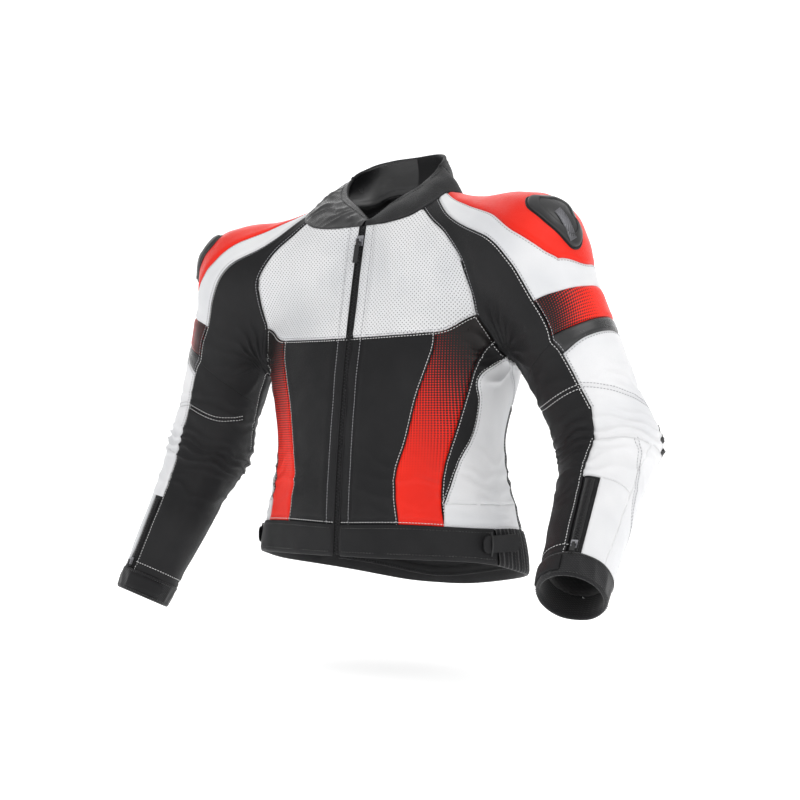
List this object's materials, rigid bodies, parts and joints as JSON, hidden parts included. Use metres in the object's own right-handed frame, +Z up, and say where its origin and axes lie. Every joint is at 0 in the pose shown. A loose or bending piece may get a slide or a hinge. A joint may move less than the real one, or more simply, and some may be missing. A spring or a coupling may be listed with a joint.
{
  "type": "leather motorcycle racing jacket",
  "caption": "Leather motorcycle racing jacket with a short standing collar, zipped front and cuffs, hard shoulder cups, bent sleeves with bands and a wide waistband.",
  "frame": {"origin": "middle of the hanger loop inside the back of the collar", "axes": "+Z up the upright jacket, front zip facing -Y, wearer's left sleeve toward +X"},
  "size_m": [0.9014, 0.3724, 0.7235],
  "materials": {
    "white_leather": "semi-gloss",
    "black_leather": "semi-gloss",
    "red_leather": "semi-gloss",
    "armour_foam": "matte",
    "hard_cup": "gloss",
    "zip_metal": "satin",
    "black_trim": "matte",
    "lining_mesh": "matte",
    "stretch_fabric": "matte"
  },
  "bodies": {
    "jacket": {"chest_right": "white_leather", "chest_left": "white_leather", "lower_front_right": "black_leather", "lower_front_left": "black_leather", "side_bands": "red_leather", "side_accents": "black_leather", "side_panels": "white_leather", "back_upper": "white_leather", "back_lower": "black_leather", "raglan_front": "black_leather", "raglan_stripe": "white_leather", "raglan_top": "red_leather", "raglan_back": "black_leather", "collar": "black_leather", "waistband_right": "black_leather", "waistband_left": "black_leather", "waistband_back": "black_leather", "waist_gussets": "stretch_fabric", "main_zip": "black_trim", "wind_flap": "black_trim", "hanger_loop": "black_trim", "lining": "lining_mesh", "back_protector": "armour_foam", "trouser_zip": "black_trim"},
    "sleeve_left": {"sleeve_black_left": "black_leather", "sleeve_white_left": "white_leather", "sleeve_red_left": "red_leather", "sleeve_bands_left": "red_leather", "shoulder_cup_left": "hard_cup", "shoulder_pad_left": "armour_foam", "elbow_bellows_left": "stretch_fabric"},
    "forearm_left": {"forearm_black_left": "black_leather", "forearm_white_left": "white_leather", "elbow_pad_left": "armour_foam", "cuff_band_left": "stretch_fabric", "cuff_zip_left": "black_trim"},
    "cuff_slider_left": {"cuff_slider_left": "zip_metal"},
    "cuff_pull_left": {"cuff_pull_left": "black_trim"},
    "cuff_strap_left": {"cuff_strap_left": "black_trim"},
    "waist_strap_left": {"waist_strap_left": "black_trim"},
    "sleeve_right": {"sleeve_black_right": "black_leather", "sleeve_white_right": "white_leather", "sleeve_red_right": "red_leather", "sleeve_bands_right": "red_leather", "shoulder_cup_right": "hard_cup", "shoulder_pad_right": "armour_foam", "elbow_bellows_right": "stretch_fabric"},
    "forearm_right": {"forearm_black_right": "black_leather", "forearm_white_right": "white_leather", "elbow_pad_right": "armour_foam", "cuff_band_right": "stretch_fabric", "cuff_zip_right": "black_trim"},
    "cuff_slider_right": {"cuff_slider_right": "zip_metal"},
    "cuff_pull_right": {"cuff_pull_right": "black_trim"},
    "cuff_strap_right": {"cuff_strap_right": "black_trim"},
    "waist_strap_right": {"waist_strap_right": "black_trim"},
    "zip_slider": {"zip_slider": "zip_metal"},
    "zip_pull": {"zip_pull": "black_trim"}
  },
  "joints": [
    {"name": "shoulder_swing_left", "type": "hinge", "parent": "jacket", "child": "sleeve_left", "pos_m": [0.25, -0.102, -0.128], "axis": [-1, 0, 0], "range_deg": [-8, 14]},
    {"name": "elbow_bend_left", "type": "hinge", "parent": "sleeve_left", "child": "forearm_left", "pos_m": [0.362, -0.076, -0.4], "axis": [-0.913, 0.1973, -0.3571], "range_deg": [-26, 26], "deforming": ["elbow_bellows_left"]},
    {"name": "cuff_zip_slide_left", "type": "slide", "parent": "forearm_left", "child": "cuff_slider_left", "axis": [-0.0994, 0.664, 0.7411], "range_m": [0, 0.105]},
    {"name": "cuff_pull_flip_left", "type": "hinge", "parent": "cuff_slider_left", "child": "cuff_pull_left", "pos_m": [0.3973, -0.27227, -0.51862], "axis": [-0.976, -0.2103, 0.0575], "range_deg": [0, 110]},
    {"name": "cuff_strap_open_left", "type": "hinge", "parent": "forearm_left", "child": "cuff_strap_left", "pos_m": [0.38813, -0.28897, -0.53999], "axis": [0.118, -0.6614, -0.7407], "range_deg": [0, 75]},
    {"name": "waist_strap_open_left", "type": "hinge", "parent": "jacket", "child": "waist_strap_left", "pos_m": [0.2009, -0.14483, -0.538], "axis": [0, 0, -1], "range_deg": [0, 110]},
    {"name": "shoulder_swing_right", "type": "hinge", "parent": "jacket", "child": "sleeve_right", "pos_m": [-0.25, -0.102, -0.128], "axis": [-1, 0, 0], "range_deg": [-8, 14]},
    {"name": "elbow_bend_right", "type": "hinge", "parent": "sleeve_right", "child": "forearm_right", "pos_m": [-0.362, -0.076, -0.4], "axis": [-0.8939, -0.292, 0.3402], "range_deg": [-26, 26], "deforming": ["elbow_bellows_right"]},
    {"name": "cuff_zip_slide_right", "type": "slide", "parent": "forearm_right", "child": "cuff_slider_right", "axis": [0.2086, 0.2992, 0.9311], "range_m": [0, 0.105]},
    {"name": "cuff_pull_flip_right", "type": "hinge", "parent": "cuff_slider_right", "child": "cuff_pull_right", "pos_m": [-0.4219, -0.20591, -0.58489], "axis": [-0.9586, 0.2513, 0.134], "range_deg": [0, 110]},
    {"name": "cuff_strap_open_right", "type": "hinge", "parent": "forearm_right", "child": "cuff_strap_right", "pos_m": [-0.41577, -0.21276, -0.612], "axis": [0.2268, 0.2968, 0.9276], "range_deg": [0, 75]},
    {"name": "waist_strap_open_right", "type": "hinge", "parent": "jacket", "child": "waist_strap_right", "pos_m": [-0.2009, -0.14483, -0.538], "axis": [0, 0, 1], "range_deg": [0, 110]},
    {"name": "main_zip_slide", "type": "hinge", "parent": "jacket", "child": "zip_slider", "pos_m": [0, 2.27846, -0.66968], "axis": [1, 0, 0], "range_deg": [0, 9.6]},
    {"name": "main_pull_flip", "type": "hinge", "parent": "zip_slider", "child": "zip_pull", "pos_m": [0, -0.16106, -0.09453], "axis": [-1, 0, 0], "range_deg": [0, 140]}
  ]
}
